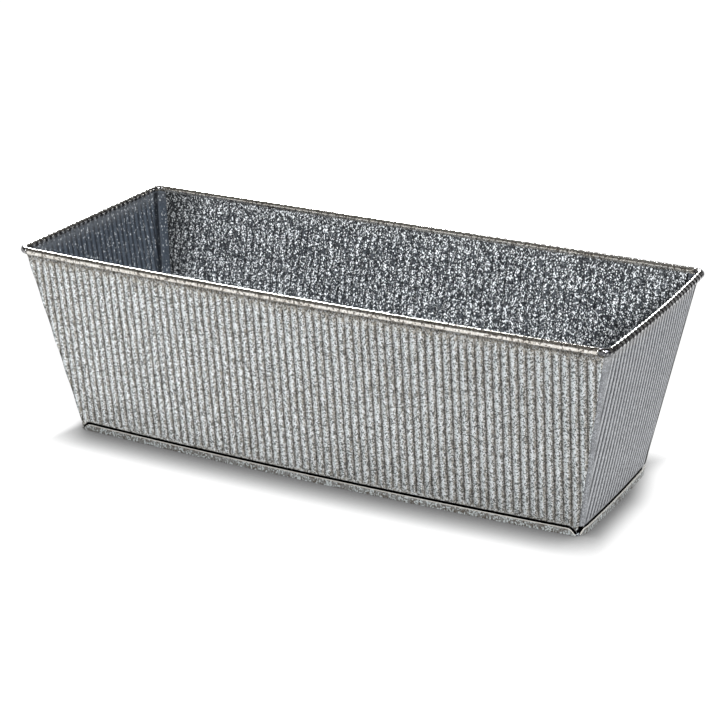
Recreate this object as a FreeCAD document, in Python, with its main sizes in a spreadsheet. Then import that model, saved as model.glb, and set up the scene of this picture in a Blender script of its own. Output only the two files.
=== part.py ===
import FreeCAD, Part

import math
import os

import Sketcher
from FreeCAD import Placement, Rotation, Vector

# Window box planter of ribbed galvanised sheet, in millimetres, +Z up.
# The origin is the middle of the base, on the floor. X runs along the box, -Y is its front.
#
# Four ribbed wall sheets stand in a shallow pan. The two long sheets end at the corners. The two
# end sheets turn round them and lap behind the long ones. Each sheet is rolled outwards at the top
# over one closed wire, and turned outwards at the foot under the folded hem of the pan.

SIZES = {
    "top_length": 603.0,      # between the middles of the rim wire, along the box
    "top_width": 241.0,       # the same, across the box
    "base_length": 538.0,     # between the middles of the end sheets, level with the hem's top
    "base_width": 164.5,      # between the middles of the long sheets, at the same level
    "rim_height": 193.5,      # floor to the middle of the rim wire
    "seam_height": 7.0,       # floor to the top of the pan's hem
    "neck_height": 6.0,       # upright plain strip from the ribs to the middle of the wire
    "foot_height": 3.0,       # plain strip from the hem's top to the ribs
    "sheet_gauge": 0.6,       # thickness of every sheet
    "rib_pitch": 7.9,         # rib to rib
    "rib_depth": 1.0,         # crest to trough of the sheet's middle
    "plain_margin": 17.0,     # unribbed strip of an end sheet, from the corner of the rim wire
    "corner_bend": 2.6,       # radius of the corner of an end sheet, at the sheet's middle
    "lap_width": 8.0,         # how far an end sheet reaches behind a long one
    "lap_gap": 0.15,          # between the ribs of a long sheet and the lap behind it
    "wire_size": 5.2,         # diameter of the rim wire
    "wire_gap": 0.1,          # between the wire and the sheet rolled over it
    "rim_bend": 8.0,          # radius of the rim wire at the corners, at its middle
    "roll_gap": 1.0,          # between the roll of a long sheet and that of an end sheet
    "curl_turn": 300.0,       # how far the sheet is rolled round the wire, in degrees
    "hem_gap": 0.6,           # open groove between a wall and the hem
    "foot_gap": 0.1,          # between the turned foot of a wall and the pan
    "foot_grip": 0.4,         # how far the foot reaches under the hem's inner fold
    "notch_length": 10.5,     # corner notch of the hem, along the box
    "notch_width": 6.0,       # the same, across the box
    "notch_depth": 5.5,       # and below the hem's top
    "pan_corner": 4.0,        # corner radius of the pan's floor
}

doc = FreeCAD.newDocument("window_box")


def make_size_sheet():
    sheet = doc.addObject("Spreadsheet::Sheet", "sizes")
    for row, (name, size) in enumerate(SIZES.items(), start=1):
        sheet.set(f"A{row}", name)
        sheet.set(f"B{row}", str(size))
        sheet.setAlias(f"B{row}", name)
    doc.recompute()
    return sheet


sizes = make_size_sheet()


def worked_out(formula):
    """The number that a formula in the sheet's names comes to."""
    return float(sizes.evalExpression(formula))


# Formulas in the sheet's names. A wall is drawn as the front one, then turned into its place.
ROLL_OFFSET = "(sizes.wire_size / 2 + sizes.wire_gap + sizes.sheet_gauge / 2)"
RIB_TOP = "(sizes.rim_height - sizes.neck_height)"
RIB_FOOT = "(sizes.seam_height + sizes.foot_height)"
LAP_OFFSET = "(sizes.rib_depth / 2 + sizes.sheet_gauge + sizes.lap_gap)"
FOOT_LEVEL = "(sizes.sheet_gauge * 3 / 2 + sizes.foot_gap)"
FOOT_REACH = "(sizes.sheet_gauge / 2 + sizes.hem_gap + sizes.foot_grip)"
HEM_INSIDE = "(sizes.sheet_gauge / 2 + sizes.hem_gap)"
LAP_TOP = f"(sizes.rim_height - {ROLL_OFFSET} / 2)"


def slope(top, base):
    """Outward run of a sheet for each millimetre of height. Its middle is base / 2 from the
    middle of the box at the hem's top, and under the roll at the top of its ribs."""
    return f"((({top} - {base}) / 2 - {ROLL_OFFSET}) / ({RIB_TOP} - sizes.seam_height))"


def reach(top, base, height):
    """Distance from the middle of the box to the middle of a sloping sheet at a height."""
    return f"({base} / 2 + ({height} - sizes.seam_height) * {slope(top, base)})"


def add_sketch(body, name, role, x="0", y="0", out="0"):
    """An empty sketch on one of the body's own planes, moved by formulas along its axes."""
    sketch = body.newObject("Sketcher::SketchObject", name)
    plane = next(item for item in body.Origin.OriginFeatures if item.Role == role)
    sketch.AttachmentSupport = (plane, [""])
    sketch.MapMode = "FlatFace"
    sketch.setExpression("AttachmentOffset.Base.x", x)
    sketch.setExpression("AttachmentOffset.Base.y", y)
    sketch.setExpression("AttachmentOffset.Base.z", out)
    return sketch


def add_outline(sketch, corners):
    """A closed outline of straight lines, each corner held at its two formulas."""
    first = sketch.GeometryCount
    places = [Vector(worked_out(across), worked_out(up), 0) for across, up in corners]
    for here, there in zip(places, places[1:] + places[:1]):
        sketch.addGeometry(Part.LineSegment(here, there))
    for index, (formulas, place) in enumerate(zip(corners, places)):
        line = first + index
        following = first + (index + 1) % len(corners)
        sketch.addConstraint(Sketcher.Constraint("Coincident", line, 2, following, 1))
        for kind, formula, size in zip(("DistanceX", "DistanceY"), formulas, (place.x, place.y)):
            held = sketch.addConstraint(Sketcher.Constraint(kind, -1, 1, line, 1, size))
            sketch.setExpression(f"Constraints[{held}]", formula)


def arc(centre, radius, start, end):
    """An arc in a sketch, anticlockwise between two angles in degrees."""
    circle = Part.Circle(centre, Vector(0, 0, 1), radius)
    return Part.ArcOfCircle(circle, math.radians(start), math.radians(end))


def add_pad(body, name, sketch, length, both_ways=False, lean=None):
    """A pad of a sketch. With a lean it follows that direction, and length is its height."""
    pad = body.newObject("PartDesign::Pad", name)
    pad.Profile = sketch
    pad.setExpression("Length", length)
    pad.Midplane = both_ways
    if lean is not None:
        pad.UseCustomVector = True
        pad.AlongSketchNormal = True
        for axis, formula in zip("xyz", lean):
            pad.setExpression(f"Direction.{axis}", formula)
    body.Tip = pad
    return pad


def add_mirror(body, name, features, role):
    mirror = body.newObject("PartDesign::Mirrored", name)
    plane = next(item for item in body.Origin.OriginFeatures if item.Role == role)
    mirror.Originals = features
    mirror.MirrorPlane = (plane, [""])
    body.Tip = mirror


def rib_section(count):
    """Section of a ribbed sheet: equal arcs that bulge outwards and inwards in turn, each half a
    pitch long. The first and the last of them bulge outwards, so count is odd."""
    quarter = worked_out("sizes.rib_pitch / 4")
    depth = worked_out("sizes.rib_depth / 2")
    half_gauge = worked_out("sizes.sheet_gauge / 2")
    radius = (quarter ** 2 + depth ** 2) / (2 * depth)
    spread = math.degrees(math.asin(quarter / radius))
    outer, inner = [], []
    for index in range(count):
        outwards = index % 2 == 0
        bulge = -1 if outwards else 1
        centre = Vector((2 * index - count + 1) * quarter, -bulge * (radius - depth), 0)
        middle = 90 * bulge
        outer.append(arc(centre, radius - bulge * half_gauge, middle - spread, middle + spread))
        inner.append(arc(centre, radius + bulge * half_gauge, middle - spread, middle + spread))
    ends = [Part.LineSegment(outer[0].StartPoint, inner[0].StartPoint),
            Part.LineSegment(outer[-1].EndPoint, inner[-1].EndPoint)]
    return outer + inner + ends


def add_ribs(body, top, base, width):
    """The ribbed field of a wall, its ribs running up the slope."""
    count = 2 * round(worked_out(f"{width} / sizes.rib_pitch")) + 1
    section = add_sketch(body, "rib_section", "XY_Plane",
                         y=f"-{reach(top, base, RIB_FOOT)}", out=RIB_FOOT)
    section.addGeometry(rib_section(count))
    add_pad(body, "ribs", section, f"{RIB_TOP} - {RIB_FOOT}", lean=("0", f"-{slope(top, base)}", "1"))
    return f"(sizes.rib_pitch * {count} / 4)"


def add_foot(body, top, base, length):
    """Plain strip below the ribs, turned outwards just above the floor of the pan."""
    half = "sizes.sheet_gauge / 2"
    under = f"({FOOT_LEVEL} - {half})"
    over = f"({FOOT_LEVEL} + {half})"
    tip = f"-({base} / 2 + {FOOT_REACH})"
    profile = add_sketch(body, "foot_section", "YZ_Plane")
    add_outline(profile, [
        (f"-{reach(top, base, RIB_FOOT)} + {half}", RIB_FOOT),
        (f"-{reach(top, base, under)} + {half}", under),
        (tip, under),
        (tip, over),
        (f"-{reach(top, base, over)} - {half}", over),
        (f"-{reach(top, base, RIB_FOOT)} - {half}", RIB_FOOT)])
    add_pad(body, "foot", profile, length, both_ways=True)


def roll_arcs(centre):
    """The roll's outer and inner arcs and the line that closes their free ends."""
    inside = worked_out("sizes.wire_size / 2 + sizes.wire_gap")
    turn = worked_out("sizes.curl_turn")
    outer = arc(centre, inside + worked_out("sizes.sheet_gauge"), 0, turn)
    inner = arc(centre, inside, 0, turn)
    return outer, inner, Part.LineSegment(outer.EndPoint, inner.EndPoint)


def add_rim(body, top, length):
    """Upright plain strip above the ribs, rolled outwards over the wire."""
    outer, inner, free_end = roll_arcs(Vector(0, 0, 0))
    drop = Vector(0, -worked_out("sizes.neck_height"), 0)
    profile = add_sketch(body, "rim_section", "YZ_Plane", x=f"-{top} / 2", y="sizes.rim_height")
    profile.addGeometry([
        outer, inner, free_end,
        Part.LineSegment(outer.StartPoint, outer.StartPoint + drop),
        Part.LineSegment(outer.StartPoint + drop, inner.StartPoint + drop),
        Part.LineSegment(inner.StartPoint + drop, inner.StartPoint)])
    add_pad(body, "rim", profile, length, both_ways=True)


def trim_sides(body, side):
    """Cuts both side edges of a wall along a line, given as its distance at a height."""
    low, high = "0", "(2 * sizes.rim_height)"
    beyond = f"({side(high)} + sizes.top_length)"
    profile = add_sketch(body, "side_cuts", "XZ_Plane")
    right = [(side(low), low), (beyond, low), (beyond, high), (side(high), high)]
    add_outline(profile, right)
    add_outline(profile, [(f"-{across}", up) for across, up in right])
    cut = body.newObject("PartDesign::Pocket", "sides")
    cut.Profile = profile
    cut.Type = "ThroughAll"
    cut.Midplane = True
    body.Tip = cut
    return cut


def new_body(name, turn=0):
    body = doc.addObject("PartDesign::Body", name)
    body.Label = name
    body.Placement = Placement(Vector(), Rotation(Vector(0, 0, 1), turn))
    return body


def turn_copy(source, name, turn):
    """A second sheet like one already made, turned about the middle of the box."""
    body = new_body(name, turn)
    body.BaseFeature = source
    return body


def make_long_wall(name):
    """A long sheet: ribbed from corner to corner, its roll cut short of the rim's corners."""
    across, across_base = "sizes.top_width", "sizes.base_width"
    along, along_base = "sizes.top_length", "sizes.base_length"
    body = new_body(name)
    add_ribs(body, across, across_base, along)
    add_foot(body, across, across_base, along)
    add_rim(body, across, f"{along} - 2 * (sizes.rim_bend + sizes.roll_gap)")
    trim_sides(body, lambda height: f"({reach(along, along_base, height)} - sizes.corner_bend)")
    return body


def add_margins(body, top, base, start, end):
    """Plain strips of an end sheet between its ribs and its corners."""
    gauge = "sizes.sheet_gauge / 2"
    inwards = f"({start} - {gauge})"
    strips = add_sketch(body, "margin_section", "XY_Plane",
                        y=f"-{reach(top, base, RIB_FOOT)}", out=RIB_FOOT)
    right = [(inwards, f"-{gauge}"), (end, f"-{gauge}"), (end, gauge), (inwards, gauge)]
    add_outline(strips, right)
    add_outline(strips, [(f"-{x}", y) for x, y in right])
    add_pad(body, "margins", strips, f"{RIB_TOP} - {RIB_FOOT}",
            lean=("0", f"-{slope(top, base)}", "1"))


def add_lap(body, top, base, side_top, side_base):
    """The bend at a corner of an end sheet and the strip behind the long sheet, up the corner."""
    start = f"({FOOT_LEVEL} - sizes.sheet_gauge / 2)"
    bend = worked_out("sizes.corner_bend")
    half = worked_out("sizes.sheet_gauge / 2")
    section = add_sketch(body, "lap_section", "XY_Plane", out=start,
                         x=f"{reach(side_top, side_base, start)} - {LAP_OFFSET} - sizes.corner_bend",
                         y=f"-{reach(top, base, start)} + sizes.corner_bend")
    outer = arc(Vector(0, 0, 0), bend + half, -90, 0)
    inner = arc(Vector(0, 0, 0), bend - half, -90, 0)
    back = Vector(0, worked_out("sizes.lap_width"), 0)
    overlap = Vector(-half, 0, 0)
    section.addGeometry([
        outer, inner,
        Part.LineSegment(outer.EndPoint, outer.EndPoint + back),
        Part.LineSegment(outer.EndPoint + back, inner.EndPoint + back),
        Part.LineSegment(inner.EndPoint + back, inner.EndPoint),
        Part.LineSegment(inner.StartPoint, inner.StartPoint + overlap),
        Part.LineSegment(inner.StartPoint + overlap, outer.StartPoint + overlap),
        Part.LineSegment(outer.StartPoint + overlap, outer.StartPoint)])
    return add_pad(body, "lap", section, f"{LAP_TOP} - {start}",
                   lean=(slope(side_top, side_base), f"-{slope(top, base)}", "1"))


def add_corner_roll(body, top, length):
    """The roll carried round a corner of the rim, up to the end of the long sheet's roll."""
    outer, inner, free_end = roll_arcs(Vector(-worked_out("sizes.rim_bend"), 0, 0))
    section = add_sketch(body, "corner_roll_section", "YZ_Plane", out=f"{length} / 2 - sizes.rim_bend",
                         x=f"-{top} / 2 + sizes.rim_bend", y="sizes.rim_height")
    section.addGeometry([outer, inner, free_end, Part.LineSegment(outer.StartPoint, inner.StartPoint)])
    roll = body.newObject("PartDesign::Revolution", "corner_roll")
    roll.Profile = section
    roll.ReferenceAxis = (section, ["V_Axis"])
    roll.Angle = 90
    body.Tip = roll
    return roll


def make_end_wall(name, turn):
    """An end sheet: plain beside its corners, turned round them and lapped behind the long ones."""
    across, across_base = "sizes.top_length", "sizes.base_length"
    along, along_base = "sizes.top_width", "sizes.base_width"
    body = new_body(name, turn)
    ribbed = add_ribs(body, across, across_base, f"({along} - 2 * sizes.plain_margin)")
    add_margins(body, across, across_base, ribbed, f"({along} / 2)")
    add_foot(body, across, across_base, along)
    add_rim(body, across, f"{along} - 2 * sizes.rim_bend")
    trim_sides(body, lambda height: f"({reach(along, along_base, height)} - {LAP_OFFSET}"
                                    f" - sizes.corner_bend)")
    lap = add_lap(body, across, across_base, along, along_base)
    roll = add_corner_roll(body, across, along)
    add_mirror(body, "other_corner", [lap, roll], "YZ_Plane")
    return body


def add_hem(body, role, base, side_base, notch):
    """One side of the pan's hem: the upright skin and the fold pressed flat against it."""
    skin = f"({base} / 2 + {HEM_INSIDE} + sizes.sheet_gauge)"
    end = f"({side_base} / 2 + {HEM_INSIDE} + 2 * sizes.sheet_gauge - sizes.pan_corner)"
    short = f"({side_base} / 2 + {HEM_INSIDE} + 2 * sizes.sheet_gauge - {notch})"
    step = "(sizes.seam_height - sizes.notch_depth)"
    outside = add_sketch(body, "hem_skin_section", role, out=skin)
    add_outline(outside, [
        (f"-{end}", "0"), (end, "0"), (end, step), (short, "sizes.seam_height"),
        (f"-{short}", "sizes.seam_height"), (f"-{end}", step)])
    skin_pad = add_pad(body, "hem_skin", outside, "sizes.sheet_gauge")
    fold_foot = f"({FOOT_LEVEL} + sizes.sheet_gauge / 2 + sizes.foot_gap)"
    inside = add_sketch(body, "hem_fold_section", role, out=f"{skin} - sizes.sheet_gauge")
    add_outline(inside, [
        (f"-{short}", fold_foot), (short, fold_foot),
        (short, "sizes.seam_height"), (f"-{short}", "sizes.seam_height")])
    fold_pad = add_pad(body, "hem_fold", inside, "sizes.sheet_gauge")
    return [skin_pad, fold_pad]


def make_pan():
    """The pan that closes the base, its floor on the ground and its hem up round the walls."""
    body = new_body("base_pan")
    edge = f"({HEM_INSIDE} + 2 * sizes.sheet_gauge)"
    half_long = f"(sizes.base_length / 2 + {edge})"
    half_wide = f"(sizes.base_width / 2 + {edge})"
    plan = add_sketch(body, "floor_outline", "XY_Plane")
    add_outline(plan, [
        (f"-{half_long}", f"-{half_wide}"), (half_long, f"-{half_wide}"),
        (half_long, half_wide), (f"-{half_long}", half_wide)])
    floor = add_pad(body, "floor", plan, "sizes.sheet_gauge")
    doc.recompute()
    corners = body.newObject("PartDesign::Fillet", "floor_corners")
    upright = [f"Edge{number}" for number, edge in enumerate(floor.Shape.Edges, start=1)
               if abs(edge.tangentAt(edge.FirstParameter).z) > 0.5]
    corners.Base = (floor, upright)
    corners.setExpression("Radius", "sizes.pan_corner")
    body.Tip = corners
    front = add_hem(body, "XZ_Plane", "sizes.base_width", "sizes.base_length", "sizes.notch_length")
    add_mirror(body, "back_hem", front, "XZ_Plane")
    right = add_hem(body, "YZ_Plane", "sizes.base_length", "sizes.base_width", "sizes.notch_width")
    add_mirror(body, "left_hem", right, "YZ_Plane")
    return body


def make_wire():
    """The rim wire: one closed loop, bent round at the four corners."""
    body = new_body("rim_wire")
    half_long, half_wide = worked_out("sizes.top_length / 2"), worked_out("sizes.top_width / 2")
    bend = worked_out("sizes.rim_bend")
    straight_x, straight_y = half_long - bend, half_wide - bend
    path = add_sketch(body, "wire_path", "XY_Plane", out="sizes.rim_height")
    corners = [(straight_x, -straight_y, -90), (straight_x, straight_y, 0),
               (-straight_x, straight_y, 90), (-straight_x, -straight_y, 180)]
    bends = [arc(Vector(x, y, 0), bend, start, start + 90) for x, y, start in corners]
    first = Vector(0, -half_wide, 0)
    stops = [(first, bends[0].StartPoint)]
    stops += [(here.EndPoint, there.StartPoint) for here, there in zip(bends, bends[1:])]
    stops += [(bends[-1].EndPoint, first)]
    path.addGeometry([Part.LineSegment(here, there) for here, there in stops] + bends)
    section = add_sketch(body, "wire_section", "YZ_Plane",
                         x="-sizes.top_width / 2", y="sizes.rim_height")
    section.addGeometry(Part.Circle(Vector(0, 0, 0), Vector(0, 0, 1), worked_out("sizes.wire_size / 2")))
    round_section = section.addConstraint(
        Sketcher.Constraint("Diameter", 0, worked_out("sizes.wire_size")))
    section.setExpression(f"Constraints[{round_section}]", "sizes.wire_size")
    pipe = body.newObject("PartDesign::AdditivePipe", "wire")
    pipe.Profile = section
    pipe.Spine = (path, [""])
    body.Tip = pipe
    return body


def check(bodies):
    """Stops if anything in the document failed, or a piece isn't one sound solid."""
    for item in doc.Objects:
        if {"Invalid", "Error"} & set(item.State):
            raise RuntimeError(f"{item.Name} failed: {item.State}")
    for body in bodies:
        shape = body.Shape
        if shape.isNull() or not shape.isValid() or len(shape.Solids) != 1:
            raise RuntimeError(f"{body.Label} is not one sound solid")
        print(body.Label, "volume", round(shape.Volume), "faces", len(shape.Faces))


def main():
    front = make_long_wall("front_wall")
    right = make_end_wall("right_end_wall", 90)
    bodies = [
        front,
        turn_copy(front, "back_wall", 180),
        right,
        turn_copy(right, "left_end_wall", -90),
        make_pan(),
        make_wire()]
    doc.recompute()
    check(bodies)
    os.makedirs("parts", exist_ok=True)
    for body in bodies:
        body.Shape.exportStep(f"parts/{body.Label}.step")


main()
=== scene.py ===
"""Window box planter of ribbed galvanised sheet. Metres, +Z up, -Y is its front."""
import math

import bmesh
import bpy
from mathutils import Matrix, Quaternion, Vector, noise


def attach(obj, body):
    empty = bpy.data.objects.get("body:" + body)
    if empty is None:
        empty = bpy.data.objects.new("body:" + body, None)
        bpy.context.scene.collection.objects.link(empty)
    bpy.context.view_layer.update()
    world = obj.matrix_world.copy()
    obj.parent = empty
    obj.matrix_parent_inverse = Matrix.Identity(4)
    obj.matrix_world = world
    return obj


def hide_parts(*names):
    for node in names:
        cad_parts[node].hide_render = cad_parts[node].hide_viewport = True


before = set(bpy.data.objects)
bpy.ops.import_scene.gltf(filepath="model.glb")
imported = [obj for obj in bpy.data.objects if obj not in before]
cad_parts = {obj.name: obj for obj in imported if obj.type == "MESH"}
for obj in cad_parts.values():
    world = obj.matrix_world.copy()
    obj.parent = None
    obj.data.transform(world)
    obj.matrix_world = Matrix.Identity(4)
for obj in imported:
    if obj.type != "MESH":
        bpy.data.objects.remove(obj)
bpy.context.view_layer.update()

# Sizes of the box in millimetres, as the solids have them.
RIM_HALF_LENGTH = 301.5     # middle of the box to the middle of the rim wire, along the box
RIM_HALF_WIDTH = 120.5      # the same, across the box
BASE_HALF_LENGTH = 269.0    # middle of the box to an end sheet, level with the hem's top
BASE_HALF_WIDTH = 82.25     # the same, to a long sheet
RIM_HEIGHT = 193.5
RIB_TOP = 187.5             # where the slope ends and the upright neck starts
HEM_TOP = 7.0
GAUGE = 0.6                 # thickness of the sheet
ROLL_RADIUS = 3.0           # to the middle of the rolled sheet
RIM_BEND = 8.0              # radius of the rim at its corners
ROLL_GAP = 1.0
CORNER_BEND = 2.6           # radius of the corner of an end sheet
LAP_OFFSET = 1.25           # a lap lies this far behind the middle of the long sheet
LAP_WIDTH = 8.0
RIB_PITCH = 7.9
LONG_RIB_DEPTH = 1.6
END_RIB_DEPTH = 1.0
WIRE_RADIUS = 2.45
HEM_INSIDE = 0.9            # middle of a wall to the inner face of the hem
HEM_THICKNESS = 1.2
SEAM_DEPTH = 1.6            # how far a wall is pinched in above the hem
SEAM_RISE = 2.0             # height of that pinch
FRONT_BOW = 7.1             # the front sheet bulges this far at its middle
END_BOW = 3.2               # and the right end sheet this far at the rim, less at the base
CORNER_PINCH = 3.6          # the corners of the base lie this far in
HEM_CORNER = 355.4          # x and y of a corner of the hem, added up
LONG_NOTCH = 14.0           # length of the hem's slope down to a corner, on the long sides
END_NOTCH = 6.0             # the same, on the ends
NOTCH_DROP = 5.5            # how far the hem comes down there
RIM_UP = RIM_HEIGHT - HEM_TOP   # the rim and its neck, measured up from the hem's top
NECK_UP = 183.9
ROLL_TURN = math.radians(300)
LAP_EDGE = 1.4              # the edge of a lap, painted near black as shade where it goes behind the long sheet
LAP_ACROSS = 130.4          # where the laps lie on the sheet's map, past its ribs
STRIP_CLEAR = 3.4           # a strip of the hem stops this far before the pan's corner
MM = 0.001


# ---------------------------------------------------------------- shapes

def smooth(share):
    """Eases from 0 to 1 as the share does."""
    share = min(max(share, 0.0), 1.0)
    return share * share * (3 - 2 * share)


def reach(base, top, height):
    """Distance from the middle of the box to the middle of a sloping sheet at a height."""
    slope = (top - ROLL_RADIUS - base) / (RIB_TOP - HEM_TOP)
    return base + (min(height, RIB_TOP) - HEM_TOP) * slope


def end_reach(height):
    return reach(BASE_HALF_LENGTH, RIM_HALF_LENGTH, height)


def side_reach(height):
    return reach(BASE_HALF_WIDTH, RIM_HALF_WIDTH, height)


def bulge(point):
    """The front sheet and the right end sheet are pushed outwards between their corners, and
    the corners of the base are pinched. Everything on them goes along."""
    along = point.x / (end_reach(point.z) + ROLL_RADIUS)
    across = point.y / (side_reach(point.z) + ROLL_RADIUS)
    front = FRONT_BOW * max(0.0, 1 - along * along) * smooth(-across)
    end = END_BOW * (0.6 + 0.4 * point.z / RIM_HEIGHT) * max(0.0, 1 - across * across) * smooth(along)
    off_corner = HEM_CORNER - abs(point.x) - abs(point.y)
    pinch = CORNER_PINCH * smooth(1 - off_corner / 16) * (1 - smooth((point.z - 1) / 8))
    return Vector((point.x + end - math.copysign(pinch, point.x), point.y - front, point.z))


def reed(phase):
    """Height of the ribbed sheet: broad round ribs with narrow furrows, from 0.5 to -0.5."""
    off_crest = 2 * abs(phase - round(phase))
    return 0.5 - off_crest ** 2.1


def level(out, height, lean_out, lean_up, rib, up):
    """One level of a sheet: its place, the way its outer face looks, the height of its ribs
    there, and how far up the sheet it is from the hem's top."""
    return {"out": out, "height": height, "normal": (lean_out, lean_up), "rib": rib, "up": up}


def wall_levels(base, top, roll_rib):
    """The sheet from its foot to the free edge of its roll, as one line of levels. The foot and
    the pinch are given from the hem's top, because they follow its notches."""
    slope = (top - ROLL_RADIUS - base) / (RIB_TOP - HEM_TOP)
    out, up = 1 / math.hypot(1, slope), -slope / math.hypot(1, slope)
    levels = [level(base - SEAM_DEPTH + 2.0, 1.0, out, up, 0, -8),
              level(base - SEAM_DEPTH - 0.6, 1.0, out, up, 0, -6),
              level(base - SEAM_DEPTH, 3.0, out, up, 0, -4),
              level(base - SEAM_DEPTH + 0.2, HEM_TOP + 0.3, out, up, 0, 0.3),
              level(base - SEAM_DEPTH + 0.5, HEM_TOP + SEAM_RISE - 0.8, out, up, 0, SEAM_RISE - 0.8),
              level(base + slope * SEAM_RISE - 0.3, HEM_TOP + SEAM_RISE, out, up, 0.02, SEAM_RISE)]
    for height in (10.2, 11.5, 13.5, 16, 20, 30, 48, 70, 92, 114, 136, 158, 172, 178, 181.5,
                   184, 186, RIB_TOP):
        fade = smooth((height - 9) / 9) * (1 - 0.9 * smooth((height - 178) / 10))
        levels.append(level(reach(base, top, height), height, out, up, fade, height - HEM_TOP))
    neck = top - ROLL_RADIUS
    for height in (189.5, 191.5):
        levels.append(level(neck, height, 1, 0, max(0.1, roll_rib), height - HEM_TOP))
    steps = 20
    for step in range(steps + 1):
        turned = ROLL_TURN * step / steps
        around, over = math.cos(math.pi - turned), math.sin(math.pi - turned)
        levels.append(level(top + ROLL_RADIUS * around, RIM_HEIGHT + ROLL_RADIUS * over,
                            -around, -over, roll_rib, RIM_UP + ROLL_RADIUS * turned))
    return levels


def wall_stations(first, last):
    """Places across a ribbed sheet, closer together in the furrows than on the ribs."""
    steps = (-0.5, -0.44, -0.34, -0.2, 0.0, 0.2, 0.34, 0.44)
    places = [RIB_PITCH * (rib + step) for rib in range(-60, 61) for step in steps]
    return [first] + [place for place in places if first + 0.3 < place < last - 0.3] + [last]


def hem_drop(along, half, notch):
    """How far the top of the hem has come down at a place along it, towards its corner notch."""
    edge = half + HEM_INSIDE + HEM_THICKNESS
    return NOTCH_DROP * smooth((abs(along) - (edge - notch)) / (notch - 4.0) * 0.9)


def rib_strength(wall, here, place, edge):
    """How high the ribs stand, from 0 to 1. On an end sheet they fade out beside its corners."""
    ribs = here["rib"] * (smooth(edge / 7.0) if wall["laps"] else 1.0)
    if abs(place) > wall["ribs_to"]:
        ribs *= 1 - smooth((abs(place) - wall["ribs_to"]) / 2.0)
    return ribs


def stand_off(wall, here, place, edge, height, ribs):
    """How far the sheet stands off its flat: uneven ribs, shallow dents and a slight pillow."""
    uneven = noise.noise(Vector((place * 0.11, height * 0.012, wall["seed"])))
    lift = wall["depth"] * ribs * (1 + 0.35 * uneven) * reed(place / RIB_PITCH)
    calm = smooth(here["up"] / 25) * (1 - smooth((here["up"] - 150) / 30))
    dent = noise.noise(Vector((place * 0.018, height * 0.02, wall["seed"] + 7)))
    pillow = wall["pillow"] * (1 - (height / 97 - 1) ** 2)
    return lift + (0.5 * dent + pillow) * calm * smooth(edge / 30)


def ribbed_sheet(wall):
    """A grid laid over the levels and stations of a wall, drawn as the front one in millimetres.
    Its map has the ribs across and the height of the sheet up, in metres."""
    levels = wall_levels(wall["base"], wall["top"], wall["roll_rib"])
    stations = wall_stations(-wall["half"], wall["half"])
    bm = bmesh.new()
    bmesh.ops.create_grid(bm, x_segments=len(stations) - 1, y_segments=len(levels) - 1, size=0.5)
    sheet_map = bm.loops.layers.uv.new("sheet")
    rolled = bm.faces.layers.int.new("rolled")
    rib_share = bm.verts.layers.float.new("rib_share")
    corner_shade = bm.verts.layers.float.new("corner_shade")
    mapped = {}
    for vert in bm.verts:
        place = stations[round((vert.co.x + 0.5) * (len(stations) - 1))]
        row = round((vert.co.y + 0.5) * (len(levels) - 1))
        here = levels[row]
        lean = wall["lean"] - wall["lean_change"] * place
        x = place - lean * max(0.0, RIM_UP - max(here["up"], 0))
        height = here["height"]
        if 2 <= row <= 12:      # the seam, and the ribs just above it, follow the hem down
            settle = 1 - smooth((height - 8) / 14)
            drop = 0.5 + hem_drop(x, wall["hem_half"], wall["notch"])
            height = max(1.0 + 0.15 * row, height - settle * drop)
        edge = wall["edge"](height) - abs(x)
        ribs = rib_strength(wall, here, place, edge)
        lift = stand_off(wall, here, place, edge, height, ribs)
        out, up = here["normal"]
        vert.co = (x, -(here["out"] + lift * out), height + lift * up)
        mapped[vert] = (place * MM, here["up"] * MM)
        vert[rib_share] = ribs
        # Painted shade: the sheet darkens to near black close to its corners, where the laps go
        # behind the long sheets.
        vert[corner_shade] = smooth(3.0 - edge / 2.2) if wall["laps"] and here["up"] < NECK_UP else 0.0
    for face in bm.faces:
        lowest = min(mapped[vert][1] for vert in face.verts)
        face.material_index = 2 if lowest > NECK_UP * MM else 0
        face[rolled] = lowest > (RIM_UP - 0.1) * MM
        for loop in face.loops:
            loop[sheet_map].uv = mapped[loop.vert]
    return bm


def cut_away(bm, faces, point, normal):
    """Cuts part of a sheet along a plane and drops what lies beyond it."""
    faces = [face for face in faces if face.is_valid]
    verts = {vert for face in faces for vert in face.verts}
    edges = {edge for face in faces for edge in face.edges}
    bmesh.ops.bisect_plane(bm, geom=list(verts) + list(edges) + faces, dist=1e-4,
                           plane_co=point, plane_no=normal, clear_outer=True)


def trim_sheet(bm, wall, roll_half):
    """Cuts the side edges of a wall along the corners of the box, and its roll square."""
    low, high = wall["edge"](0.0), wall["edge"](RIB_TOP)
    rolled = bm.faces.layers.int["rolled"]
    for side in (-1, 1):
        slant = Vector((side * RIB_TOP, 0, low - high)).normalized()
        cut_away(bm, list(bm.faces), (side * low, 0, 0), slant)
        roll = [face for face in bm.faces if face[rolled]]
        cut_away(bm, roll, (side * roll_half, 0, 0), (side, 0, 0))


def draw_out(bm, rail):
    """Extrudes a row of open edges, and gives its new vertices and its new row of edges."""
    made = bmesh.ops.extrude_edge_only(bm, edges=rail)["geom"]
    verts = [item for item in made if isinstance(item, bmesh.types.BMVert)]
    rail = [item for item in made if isinstance(item, bmesh.types.BMEdge)
            and item.verts[0] in verts and item.verts[1] in verts]
    return verts, rail


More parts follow.
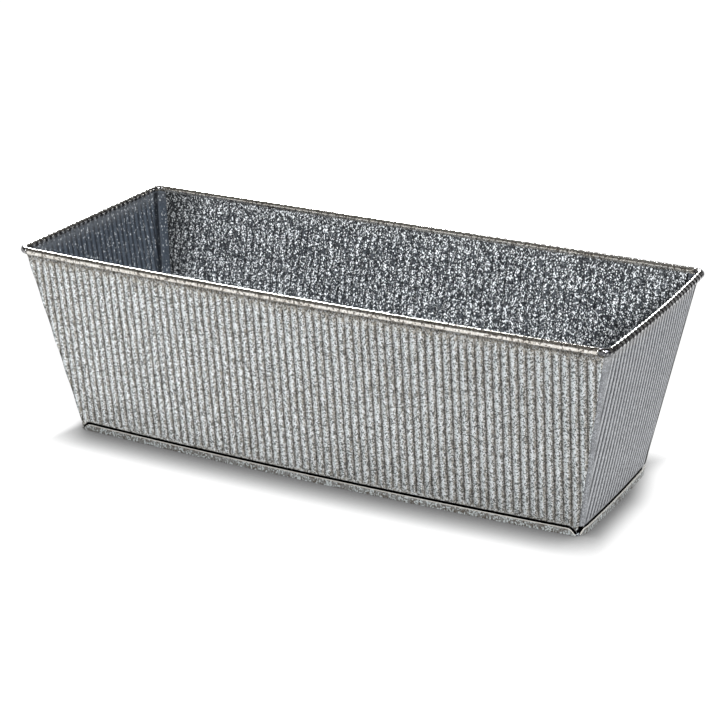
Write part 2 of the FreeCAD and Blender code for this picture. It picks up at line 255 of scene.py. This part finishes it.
def add_laps(bm, wall):
    """Turns both side edges of an end sheet round its corners, into strips behind the long ones."""
    rolled = bm.faces.layers.int["rolled"]
    corner_shade = bm.verts.layers.float["corner_shade"]
    sheet_map = bm.loops.layers.uv["sheet"]
    for side in (-1, 1):
        rail = [edge for edge in bm.edges if edge.is_boundary
                and not edge.link_faces[0][rolled]
                and all(vert.co.x * side > wall["edge"](vert.co.z) - 0.05 for vert in edge.verts)]
        # The first half of each bend and the outer edge of the lap get full painted shade, and the
        # rest of the lap a little.
        bends = [(math.radians(15 * step), 0.0, None) for step in range(1, 7)]
        flats = [(None, LAP_WIDTH - LAP_EDGE, 0.1), (None, LAP_EDGE, 1.0)]
        for turn, width, painted_shade in bends + flats:
            verts, rail = draw_out(bm, rail)
            for vert in verts:
                if turn is None:
                    vert[corner_shade] = painted_shade
                    vert.co.y += width
                    continue
                vert[corner_shade] = 1 - smooth((turn - 0.7) / 0.8)
                height = vert.co.z
                pinch = SEAM_DEPTH * (1 - smooth((height - HEM_TOP - SEAM_RISE + 1) / 1.5))
                out = reach(wall["base"], wall["top"], height) - pinch
                vert.co.x = side * (wall["edge"](height) - pinch + CORNER_BEND * math.sin(turn))
                vert.co.y = -(out - CORNER_BEND + CORNER_BEND * math.cos(turn))
            for vert in verts:
                for loop in vert.link_loops:
                    loop[sheet_map].uv = (side * LAP_ACROSS * MM, (vert.co.z - HEM_TOP) * MM)


def add_corner_rolls(bm, wall):
    """Carries the roll of an end sheet round the corners of the rim, up to the long rolls."""
    straight = wall["half"] - RIM_BEND
    rolled = bm.faces.layers.int["rolled"]
    for side in (-1, 1):
        ring = [edge for edge in bm.edges if edge.is_boundary and edge.link_faces[0][rolled]
                and all(abs(vert.co.x - side * straight) < 0.01 for vert in edge.verts)]
        verts = {vert for edge in ring for vert in edge.verts}
        bmesh.ops.spin(bm, geom=list(verts) + ring, axis=(0, 0, 1), angle=math.radians(90 * side),
                       steps=9, cent=(side * straight, -wall["top"] + RIM_BEND, 0))


def finish_piece(bm, name, materials, node, turn=0, thickness=None, bevel=None):
    """Turns a shape into its place, makes it an object in metres, and ties it to the frame."""
    for face in bm.faces:
        face.smooth = True
    bmesh.ops.rotate(bm, verts=bm.verts, cent=(0, 0, 0),
                     matrix=Matrix.Rotation(math.radians(turn), 3, "Z"))
    for vert in bm.verts:
        vert.co = bulge(vert.co)
    bmesh.ops.scale(bm, verts=bm.verts, vec=(MM, MM, MM))
    mesh = bpy.data.meshes.new(name)
    bm.to_mesh(mesh)
    bm.free()
    piece = bpy.data.objects.new(name, mesh)
    bpy.context.scene.collection.objects.link(piece)
    for material in materials:
        mesh.materials.append(material)
    if thickness:
        sheet = piece.modifiers.new("gauge", "SOLIDIFY")
        sheet.thickness = thickness * MM
        sheet.offset = 0
        if len(materials) > 1:
            sheet.material_offset = 1
            sheet.material_offset_rim = 1
    if bevel:
        edges = piece.modifiers.new("worn_edges", "BEVEL")
        edges.width = bevel * MM
        edges.segments = 3
        edges.limit_method = "ANGLE"
    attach(piece, "root")
    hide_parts(node)
    return piece


def long_wall(name, node, turn, lean, lean_change, seed, finishes):
    """A long sheet. Its ribs lean a little, and the lean changes along it."""
    wall = {"base": BASE_HALF_WIDTH, "top": RIM_HALF_WIDTH, "half": RIM_HALF_LENGTH,
            "edge": lambda height: end_reach(height) - CORNER_BEND, "laps": False,
            "ribs_to": RIM_HALF_LENGTH, "hem_half": BASE_HALF_LENGTH, "notch": LONG_NOTCH,
            "lean": lean, "lean_change": lean_change, "seed": seed, "pillow": 0, "roll_rib": 0.12,
            "depth": LONG_RIB_DEPTH}
    bm = ribbed_sheet(wall)
    trim_sheet(bm, wall, RIM_HALF_LENGTH - RIM_BEND - ROLL_GAP)
    return finish_piece(bm, name, finishes, node, turn, GAUGE)


def end_wall(name, node, turn, seed, finishes):
    """An end sheet, with its laps and the rolled corners of the rim."""
    wall = {"base": BASE_HALF_LENGTH, "top": RIM_HALF_LENGTH, "half": RIM_HALF_WIDTH,
            "edge": lambda height: side_reach(height) - LAP_OFFSET - CORNER_BEND, "laps": True,
            "ribs_to": 13.25 * RIB_PITCH, "hem_half": BASE_HALF_WIDTH, "notch": END_NOTCH,
            "lean": 0, "lean_change": 0, "seed": seed, "pillow": 1.2, "roll_rib": 0.4,
            "depth": END_RIB_DEPTH}
    bm = ribbed_sheet(wall)
    trim_sheet(bm, wall, RIM_HALF_WIDTH - RIM_BEND)
    add_laps(bm, wall)
    add_corner_rolls(bm, wall)
    return finish_piece(bm, name, finishes, node, turn, GAUGE)


def hem_strip(name, turn, base, half, notch, finish):
    """One side of the pan's hem: a folded strip that comes down to the corners in a slope."""
    end = half + HEM_INSIDE + HEM_THICKNESS - STRIP_CLEAR
    bm = bmesh.new()
    bmesh.ops.create_grid(bm, x_segments=64, y_segments=8, size=0.5)
    lip = bm.verts.layers.float.new("lip")
    for vert in bm.verts:
        # The lip mask marks the top edge of the strip, for a painted highlight.
        vert[lip] = smooth(vert.co.y * 8 - 3)
        share = vert.co.x * 2
        across = math.copysign(1 - (1 - abs(share)) ** 1.6, share) * end
        top = HEM_TOP - 0.5 - hem_drop(across, half, notch)
        height = 0.05 + (top - 0.05) * (vert.co.y + 0.5)
        vert.co = (across, -(base + HEM_INSIDE + HEM_THICKNESS / 2), height)
    return finish_piece(bm, name, [finish], "base_pan", turn, HEM_THICKNESS, 0.5)


def pan_floor(name, finish):
    """The floor of the pan, with round corners and a slight unevenness of thin sheet."""
    half_long = BASE_HALF_LENGTH + HEM_INSIDE + HEM_THICKNESS - 0.3
    half_wide = BASE_HALF_WIDTH + HEM_INSIDE + HEM_THICKNESS - 0.3
    bm = bmesh.new()
    bmesh.ops.create_grid(bm, x_segments=48, y_segments=16, size=0.5)
    for vert in bm.verts:
        x, y = vert.co.x * 2 * half_long, vert.co.y * 2 * half_wide
        inside = smooth(min(half_long - abs(x), half_wide - abs(y)) / 20)
        vert.co = (x, y, 0.35 + inside * (0.4 + 0.5 * noise.noise(Vector((x * 0.02, y * 0.03, 3)))))
    corners = [vert for vert in bm.verts if len(vert.link_edges) == 2]
    bmesh.ops.bevel(bm, geom=corners, offset=6.5, offset_type="OFFSET", segments=4, profile=0.5,
                    affect="VERTICES", material=-1)
    return finish_piece(bm, name, [finish], "base_pan", 0, GAUGE)


def wire_loop(name, finish):
    """The rim wire: a quarter of the loop is drawn out and turned, then mirrored twice."""
    straight_x, straight_y = RIM_HALF_LENGTH - RIM_BEND, RIM_HALF_WIDTH - RIM_BEND
    bm = bmesh.new()
    bmesh.ops.create_circle(bm, cap_ends=False, radius=WIRE_RADIUS, segments=12)
    bmesh.ops.rotate(bm, verts=bm.verts, cent=(0, 0, 0),
                     matrix=Matrix.Rotation(math.radians(90), 3, "Y"))
    bmesh.ops.translate(bm, verts=bm.verts, vec=(0, -RIM_HALF_WIDTH, RIM_HEIGHT))
    ring = list(bm.edges)
    for _ in range(16):
        verts, ring = draw_out(bm, ring)
        bmesh.ops.translate(bm, verts=verts, vec=(straight_x / 16, 0, 0))
    turned = bmesh.ops.spin(bm, geom=verts + ring, axis=(0, 0, 1), angle=math.radians(90), steps=8,
                            cent=(straight_x, -straight_y, 0))["geom_last"]
    ring = [item for item in turned if isinstance(item, bmesh.types.BMEdge)]
    for _ in range(8):
        verts, ring = draw_out(bm, ring)
        bmesh.ops.translate(bm, verts=verts, vec=(0, straight_y / 8, 0))
    for axis in ("X", "Y"):
        bmesh.ops.mirror(bm, geom=list(bm.verts) + list(bm.edges) + list(bm.faces), axis=axis,
                         merge_dist=0.001)
    bmesh.ops.remove_doubles(bm, verts=bm.verts, dist=0.01)
    bmesh.ops.recalc_face_normals(bm, faces=bm.faces)
    return finish_piece(bm, name, [finish], "rim_wire")


# ---------------------------------------------------------------- finishes

def add_node(tree, kind, inputs=None, **settings):
    made = tree.nodes.new(kind)
    for name, value in settings.items():
        setattr(made, name, value)
    for name, value in (inputs or {}).items():
        if isinstance(value, bpy.types.NodeSocket):
            tree.links.new(value, made.inputs[name])
        else:
            made.inputs[name].default_value = value
    return made


def arithmetic(tree, operation, *values):
    return add_node(tree, "ShaderNodeMath", dict(enumerate(values)), operation=operation).outputs[0]


def axes(tree, vector=None):
    """The X, Y and Z of a vector, or of the place on the piece."""
    if vector is None:
        vector = add_node(tree, "ShaderNodeTexCoord").outputs["Object"]
    return add_node(tree, "ShaderNodeSeparateXYZ", {"Vector": vector}).outputs


def attribute(tree, name):
    return add_node(tree, "ShaderNodeAttribute", attribute_name=name).outputs["Fac"]


def ease(tree, value, low, high):
    """A mask that goes from 0 to 1 as the value goes from low to high."""
    return add_node(tree, "ShaderNodeMapRange", {"Value": value, "From Min": low, "From Max": high},
                    interpolation_type="SMOOTHSTEP").outputs["Result"]


def blend_colours(tree, share, first, second):
    mix = add_node(tree, "ShaderNodeMix", data_type="RGBA")
    for index, value in ((0, share), (6, first), (7, second)):
        if isinstance(value, bpy.types.NodeSocket):
            tree.links.new(value, mix.inputs[index])
        else:
            mix.inputs[index].default_value = value
    return mix.outputs[2]


def lay_over(tree, colour, mask, share, over):
    """Lays a second colour over the first where the mask is, as strongly as the share says."""
    return blend_colours(tree, arithmetic(tree, "MULTIPLY", mask, share), colour, over)


def grey(value):
    return (value, value, value, 1.0)


def speckle_group():
    """Zinc speckle: small crystals that are each lighter or darker, and slow cloudy patches."""
    tree = bpy.data.node_groups.new("zinc_speckle", "ShaderNodeTree")
    sockets = tree.interface
    for name, value in (("Grain", 700.0), ("Stretch", 1.0)):
        socket = sockets.new_socket(name=name, in_out="INPUT", socket_type="NodeSocketFloat")
        socket.default_value = value
    for name in ("Grain", "Salt", "Clouds"):
        sockets.new_socket(name=name, in_out="OUTPUT", socket_type="NodeSocketFloat")
    given = tree.nodes.new("NodeGroupInput")
    result = tree.nodes.new("NodeGroupOutput")
    place = add_node(tree, "ShaderNodeTexCoord").outputs["Object"]
    squeeze = add_node(tree, "ShaderNodeCombineXYZ",
                       {"X": 1.0, "Y": 1.0, "Z": given.outputs["Stretch"]}).outputs[0]
    scaled = add_node(tree, "ShaderNodeVectorMath", {0: place, 1: squeeze},
                      operation="MULTIPLY").outputs[0]
    size = given.outputs["Grain"]
    grain = add_node(tree, "ShaderNodeTexNoise", {"Vector": scaled, "Scale": size, "Detail": 1.5,
                                                  "Roughness": 0.6}).outputs["Fac"]
    cells = add_node(tree, "ShaderNodeTexVoronoi", {"Vector": scaled, "Scale": size,
                                                    "Randomness": 1.0}).outputs["Color"]
    salt = axes(tree, cells)["X"]
    clouds = add_node(tree, "ShaderNodeTexNoise", {"Vector": place, "Scale": 17.0, "Detail": 3.0,
                                                   "Roughness": 0.55}).outputs["Fac"]
    for name, value in (("Grain", grain), ("Salt", salt), ("Clouds", ease(tree, clouds, 0.35, 0.65))):
        tree.links.new(value, result.inputs[name])
    return tree


def rib_group():
    """Masks that follow the sheet: the furrows of its ribs, for painted shade, and their crests, for
    a painted highlight; the warm neck under the roll; the seam over the hem and the low part of
    the wall, for painted shade; the painted shade at the back corners; and the shoulder of the
    roll, for a painted highlight."""
    tree = bpy.data.node_groups.new("sheet_masks", "ShaderNodeTree")
    for name in ("Furrow", "Crest", "Neck", "Seam", "Low", "Corner_shade", "Shoulder"):
        tree.interface.new_socket(name=name, in_out="OUTPUT", socket_type="NodeSocketFloat")
    result = tree.nodes.new("NodeGroupOutput")
    sheet = axes(tree, add_node(tree, "ShaderNodeUVMap", uv_map="sheet").outputs["UV"])
    across, up = sheet["X"], sheet["Y"]
    ribs = arithmetic(tree, "PINGPONG", arithmetic(tree, "ABSOLUTE", across), RIB_PITCH * MM / 2)
    ribbed = ease(tree, attribute(tree, "rib_share"), 0.04, 0.5)
    # The corner shade is painted at the back of the box only.
    behind = ease(tree, axes(tree)["Y"], 0.0, 0.04)
    corner_shade = arithmetic(tree, "MULTIPLY", attribute(tree, "corner_shade"), behind)
    # Furrows take painted shade, partly a brownish tone of their own; crests take a painted
    # highlight.
    furrow = ease(tree, ribs, 0.0012, 0.0036)
    crest = ease(tree, ribs, 0.0022, 0.0006)
    neck = ease(tree, up, 0.168, 0.181)
    # Painted shade: a near-black band in the lowest 2 to 2.7 mm of the wall above the hem, where it
    # meets the hem.
    seam = ease(tree, up, 0.0027, 0.0020)
    # A band along the inner top of the roll, for a painted highlight.
    shoulder = arithmetic(tree, "MULTIPLY", ease(tree, up, 0.1882, 0.1889),
                          ease(tree, up, 0.1912, 0.1904))
    for name, value in (("Furrow", arithmetic(tree, "MULTIPLY", furrow, ribbed)),
                        ("Crest", arithmetic(tree, "MULTIPLY", crest, ribbed)), ("Neck", neck),
                        ("Seam", seam), ("Low", ease(tree, up, 0.06, 0.0)), ("Corner_shade", corner_shade),
                        ("Shoulder", shoulder)):
        tree.links.new(value, result.inputs[name])
    return tree


def zinc(name, groups, look):
    """A galvanised finish, from the colours and strengths in its look."""
    material = bpy.data.materials.new(name)
    material.use_nodes = True
    tree = material.node_tree
    shader = tree.nodes["Principled BSDF"]
    speckle = add_node(tree, "ShaderNodeGroup", node_tree=groups["speckle"])
    speckle.inputs["Grain"].default_value = look["grain"]
    speckle.inputs["Stretch"].default_value = look["stretch"]
    salt = speckle.outputs["Salt"]
    pits = ease(tree, salt, look["pits"], look["pits"] * 0.5)
    flecks = ease(tree, salt, 1 - look["flecks"], 1 - look["flecks"] * 0.5)
    colour = blend_colours(tree, speckle.outputs["Clouds"], look["body"], look["cloud"])
    if look["on_sheet"]:
        masks = add_node(tree, "ShaderNodeGroup", node_tree=groups["ribs"]).outputs
        # Painted shade in the furrows, a painted highlight on the crests, and a warmer neck.
        for mask in ("Furrow", "Crest", "Neck"):
            part = mask.lower()
            colour = lay_over(tree, colour, masks[mask], look[part + "_share"], look[part])
        fewer = arithmetic(tree, "MULTIPLY_ADD", masks["Furrow"], -0.7 * look["furrow_share"], 1.0)
        flecks = arithmetic(tree, "MULTIPLY", flecks, fewer)
    colour = lay_over(tree, colour, pits, look["pit_share"], look["pit"])
    colour = lay_over(tree, colour, flecks, look["fleck_share"], look["fleck"])
    if look["on_sheet"]:
        # Painted shade: the wall darkens over its lowest 60 mm.
        colour = lay_over(tree, colour, masks["Low"], look["low"], grey(0.0))
    # Painted shade along the box: the outside darkens towards the right end, and the inside towards
    # its left end.
    if look["along"]:
        along = ease(tree, axes(tree)["X"], look["along_from"], look["along_to"])
        colour = lay_over(tree, colour, along, look["along"], grey(0.0))
    if look["lip"]:
        # Painted highlight along the top edge of the hem.
        colour = blend_colours(tree, attribute(tree, "lip"), colour, look["lip"])
    if look["on_sheet"]:
        # Painted highlight along the shoulder of the roll.
        colour = blend_colours(tree, masks["Shoulder"], colour, (0.92, 0.91, 0.88, 1))
        # Painted shade, near black: the seam over the hem and the back corners. The metallic rises
        # with it.
        painted_shade = arithmetic(tree, "MAXIMUM", arithmetic(tree, "MULTIPLY", masks["Seam"], look["seam"]),
                          arithmetic(tree, "MULTIPLY", masks["Corner_shade"], look["corner_shade"]))
        colour = blend_colours(tree, painted_shade, colour, grey(0.004))
        metal = arithmetic(tree, "MAXIMUM", painted_shade, look["metal"])
        tree.links.new(metal, shader.inputs["Metallic"])
    tree.links.new(colour, shader.inputs["Base Color"])
    smoothest, roughest = look["rough"]
    rough = add_node(tree, "ShaderNodeMapRange",
                     {"Value": speckle.outputs["Grain"], "From Min": 0.3, "From Max": 0.7,
                      "To Min": smoothest, "To Max": roughest}).outputs["Result"]
    tree.links.new(rough, shader.inputs["Roughness"])
    bump = add_node(tree, "ShaderNodeBump", {"Height": speckle.outputs["Grain"], "Distance": 0.0003,
                                             "Strength": look["bump"]}).outputs["Normal"]
    tree.links.new(bump, shader.inputs["Normal"])
    shader.inputs["Metallic"].default_value = look["metal"]
    shader.inputs["Specular IOR Level"].default_value = look["shine"]
    return material


def make_finishes():
    """Every zinc finish. A look gives its colours, how much of the speckle is dark pits or bright
    flecks, and the share of each mask: on the ribs, at the foot, and along the box. Many of these
    carry painted shade and highlights, and the end, inside and end-roll looks are shaded copies."""
    groups = {"speckle": speckle_group(), "ribs": rib_group()}
    # The long sheets' outside. Its furrow colour is partly the brownish tone of the troughs and
    # partly painted shade, its crest colour is a painted highlight, and low and along darken it as
    # painted shade.
    outside = {"on_sheet": True, "grain": 1080.0, "stretch": 0.7, "lip": None,
               "body": (0.60, 0.585, 0.545, 1), "cloud": (0.50, 0.475, 0.425, 1),
               "furrow": (0.18, 0.16, 0.13, 1), "furrow_share": 0.85,
               "crest": (0.78, 0.86, 0.89, 1), "crest_share": 0.75,
               "neck": (0.55, 0.49, 0.40, 1), "neck_share": 0.6,
               "pits": 0.46, "pit": grey(0.02), "pit_share": 0.8,
               "flecks": 0.36, "fleck": (0.95, 0.98, 1.0, 1), "fleck_share": 0.85,
               "low": 0.14, "along": 0.34, "along_from": -0.33, "along_to": 0.33,
               "seam": 1.0, "corner_shade": 1.0, "rough": (0.42, 0.55), "bump": 0.35,
               "metal": 0.1, "shine": 0.4}
    # The ends' outside: a darker copy. A little of it is the sheet's own bluer tone and most of it is
    # painted shade. Its near-black furrows are painted shade.
    end = dict(outside, body=(0.2, 0.205, 0.215, 1), cloud=(0.185, 0.19, 0.2, 1),
               furrow=(0.015, 0.015, 0.02, 1), furrow_share=0.97,
               crest=(0.38, 0.385, 0.4, 1), crest_share=0.95, neck_share=0.1,
               pits=0.35, pit_share=0.35, flecks=0.35, fleck_share=0.15, low=0.0, along=0.0)
    # The inside: a dark copy, painted shade for the inside of the box, with more painted shade
    # towards the left end.
    inside = dict(outside, body=(0.078, 0.086, 0.095, 1), cloud=(0.054, 0.06, 0.069, 1),
                  furrow=(0.03, 0.032, 0.036, 1), furrow_share=0.4, crest_share=0.0,
                  neck=grey(0.15), neck_share=0.3, pits=0.5, pit=(0.01, 0.011, 0.013, 1),
                  pit_share=0.9, flecks=0.265, fleck_share=0.97, low=0.0, along=0.65,
                  along_from=-0.23, along_to=-0.285, seam=0.6, corner_shade=0.65, shine=0.2, grain=1150.0)
    # Inside the ends: darker and bluer still, painted shade.
    inside_end = dict(inside, body=(0.064, 0.078, 0.098, 1), cloud=(0.058, 0.07, 0.088, 1),
                      furrow=(0.012, 0.014, 0.018, 1), furrow_share=0.85, pit_share=0.3,
                      flecks=0.09, fleck_share=0.35, along=0.0, grain=900.0)
    rim = dict(outside, body=(0.85, 0.82, 0.76, 1), cloud=(0.75, 0.71, 0.64, 1),
               furrow=(0.1, 0.09, 0.08, 1), neck_share=0.0, pits=0.35, pit=(0.07, 0.05, 0.035, 1),
               pit_share=0.7, fleck=(0.98, 0.96, 0.92, 1), fleck_share=0.7, low=0.0, along=0.0,
               rough=(0.16, 0.28), bump=0.5, metal=0.95, grain=650.0)
    # The ends' roll: a dark copy of the rim that paints a dark reflection, with painted highlights
    # across its ribs.
    end_rim = dict(rim, body=(0.16, 0.16, 0.17, 1), cloud=(0.13, 0.13, 0.14, 1),
                   furrow=(0.01, 0.01, 0.012, 1), crest=(0.9, 0.9, 0.91, 1), crest_share=0.85,
                   pit=(0.02, 0.02, 0.025, 1), fleck_share=0.3)
    # The hem. Its lip colour is a painted highlight.
    hem = dict(rim, on_sheet=False, body=(0.21, 0.21, 0.205, 1), cloud=(0.16, 0.155, 0.145, 1),
               fleck=(0.6, 0.65, 0.65, 1), rough=(0.35, 0.5), metal=0.35,
               lip=(0.55, 0.53, 0.49, 1), grain=900.0)
    floor = dict(inside, on_sheet=False, along=0.0, body=(0.15, 0.16, 0.175, 1),
                 cloud=(0.11, 0.12, 0.135, 1))
    wire = dict(hem, body=(0.3, 0.28, 0.25, 1), cloud=(0.22, 0.21, 0.19, 1), rough=(0.4, 0.55),
                lip=None)
    looks = {"outside": outside, "end_outside": end, "inside": inside, "end_inside": inside_end,
             "rim": rim, "end_rim": end_rim, "hem": hem, "pan_floor": floor, "wire": wire}
    return {name: zinc("zinc_" + name, groups, look) for name, look in looks.items()}


# ---------------------------------------------------------------- studio

def add_camera():
    """The photo's camera: its place, the point it looks at, its lens and its slight tilt."""
    place = Vector((0.8701, -1.6636, 0.8127))
    target = Vector((0.0060, -0.0004, 0.0919))
    camera = bpy.data.objects.new("camera", bpy.data.cameras.new("camera"))
    camera.data.sensor_width = 36.0
    camera.data.lens = 103.63
    camera.data.clip_start = 0.05
    camera.data.clip_end = 100.0
    tilt = Quaternion((0, 0, 1), math.radians(0.116))
    camera.location = place
    camera.rotation_mode = "QUATERNION"
    camera.rotation_quaternion = (target - place).to_track_quat("-Z", "Y") @ tilt
    bpy.context.scene.collection.objects.link(camera)
    bpy.context.scene.camera = camera


def add_lamp(name, place, size, power):
    """A cool square lamp that looks at the middle of the box."""
    lamp = bpy.data.lights.new(name, "AREA")
    lamp.shape = "RECTANGLE"
    lamp.size, lamp.size_y = size, size
    lamp.energy = power
    lamp.color = (0.97, 0.985, 1.0)
    holder = bpy.data.objects.new(name, lamp)
    holder.location = place
    holder.rotation_euler = (Vector((0, 0, 0.1)) - Vector(place)).to_track_quat("-Z", "Y").to_euler()
    bpy.context.scene.collection.objects.link(holder)


def add_floor():
    """White floor. The camera and the reflections see it near white, with the box's shadow."""
    bm = bmesh.new()
    bmesh.ops.create_circle(bm, cap_ends=True, radius=40.0, segments=64)
    mesh = bpy.data.meshes.new("floor")
    bm.to_mesh(mesh)
    bm.free()
    floor = bpy.data.objects.new("floor", mesh)
    bpy.context.scene.collection.objects.link(floor)
    material = bpy.data.materials.new("floor_white")
    material.use_nodes = True
    tree = material.node_tree
    tree.nodes.clear()
    path = add_node(tree, "ShaderNodeLightPath").outputs
    shiny = arithmetic(tree, "MAXIMUM", path["Is Glossy Ray"], path["Is Transmission Ray"])
    seen = arithmetic(tree, "MAXIMUM", path["Is Camera Ray"], shiny)
    dull = add_node(tree, "ShaderNodeBsdfDiffuse", {"Color": grey(0.25)})
    paint = add_node(tree, "ShaderNodeBsdfDiffuse", {"Color": grey(0.06)})
    near = add_node(tree, "ShaderNodeAmbientOcclusion", {"Distance": 0.047}, samples=12).outputs["AO"]
    spot = axes(tree)
    # The shadow under the box runs out soon past its ends, sooner at the back of the right one.
    slanted = arithmetic(tree, "MULTIPLY_ADD", ease(tree, spot["Y"], 0.0, 0.1), 0.018, spot["X"])
    ends = arithmetic(tree, "MAXIMUM", ease(tree, spot["X"], -0.262, -0.285),
                      ease(tree, slanted, 0.268, 0.305))
    near = arithmetic(tree, "MAXIMUM", arithmetic(tree, "POWER", near, 2.8), ends)
    # Reflections find the floor dark to the right of the box.
    lit = arithmetic(tree, "MAXIMUM", path["Is Camera Ray"], ease(tree, spot["X"], 0.75, 0.45))
    strength = arithmetic(tree, "MULTIPLY", arithmetic(tree, "MULTIPLY", near, lit), 0.97)
    glow = add_node(tree, "ShaderNodeEmission", {"Color": grey(1.0), "Strength": strength})
    both = add_node(tree, "ShaderNodeAddShader", {0: paint.outputs[0], 1: glow.outputs[0]})
    mix = add_node(tree, "ShaderNodeMixShader", {0: seen, 1: dull.outputs[0], 2: both.outputs[0]})
    add_node(tree, "ShaderNodeOutputMaterial", {"Surface": mix.outputs[0]})
    mesh.materials.append(material)


def add_world():
    """Dim light from all round. Reflections find it white at the horizon, apart from the right,
    and dark and warm overhead. The camera sees it white all over."""
    world = bpy.data.worlds.new("studio")
    bpy.context.scene.world = world
    world.use_nodes = True
    tree = world.node_tree
    tree.nodes.clear()
    way = axes(tree, add_node(tree, "ShaderNodeTexCoord").outputs["Generated"])
    around = blend_colours(tree, ease(tree, way["Z"], 0.0, 0.6), (0.2, 0.195, 0.19, 1),
                           (0.1, 0.095, 0.09, 1))
    bright = arithmetic(tree, "MULTIPLY", ease(tree, way["Z"], 0.4, 0.05),
                        ease(tree, way["X"], 0.5, 0.1))
    mirrored = blend_colours(tree, bright, (0.05, 0.043, 0.035, 1), grey(1.0))
    path = add_node(tree, "ShaderNodeLightPath").outputs
    shiny = arithmetic(tree, "MAXIMUM", path["Is Glossy Ray"], path["Is Transmission Ray"])
    seen = blend_colours(tree, shiny, around, mirrored)
    colour = blend_colours(tree, path["Is Camera Ray"], seen, grey(1.0))
    light = add_node(tree, "ShaderNodeBackground", {"Color": colour, "Strength": 1.0})
    add_node(tree, "ShaderNodeOutputWorld", {"Surface": light.outputs[0]})


# ---------------------------------------------------------------- the box

bpy.context.scene.view_settings.view_transform = "Standard"
add_camera()
add_floor()
add_world()
add_lamp("key", (3.76, -3.16, 3.54), 1.8, 680)
add_lamp("back", (-3.2, 4.4, 2.4), 2.4, 420)

zincs = make_finishes()
long_finishes = [zincs["outside"], zincs["inside"], zincs["rim"], zincs["rim"]]
end_finishes = [zincs["end_outside"], zincs["end_inside"], zincs["end_rim"], zincs["end_rim"]]

long_wall("front_sheet", "front_wall", 0, 0.0375, 0.0000438, 1.0, long_finishes)
long_wall("back_sheet", "back_wall", 180, 0.0, 0.0, 2.0, long_finishes)
end_wall("right_end_sheet", "right_end_wall", 90, 3.0, end_finishes)
end_wall("left_end_sheet", "left_end_wall", -90, 4.0, end_finishes)
pan_floor("pan_floor", zincs["pan_floor"])
hem_strip("front_hem", 0, BASE_HALF_WIDTH, BASE_HALF_LENGTH, LONG_NOTCH, zincs["hem"])
hem_strip("back_hem", 180, BASE_HALF_WIDTH, BASE_HALF_LENGTH, LONG_NOTCH, zincs["hem"])
hem_strip("right_end_hem", 90, BASE_HALF_LENGTH, BASE_HALF_WIDTH, END_NOTCH, zincs["hem"])
hem_strip("left_end_hem", -90, BASE_HALF_LENGTH, BASE_HALF_WIDTH, END_NOTCH, zincs["hem"])
wire_loop("rim_wire_loop", zincs["wire"])
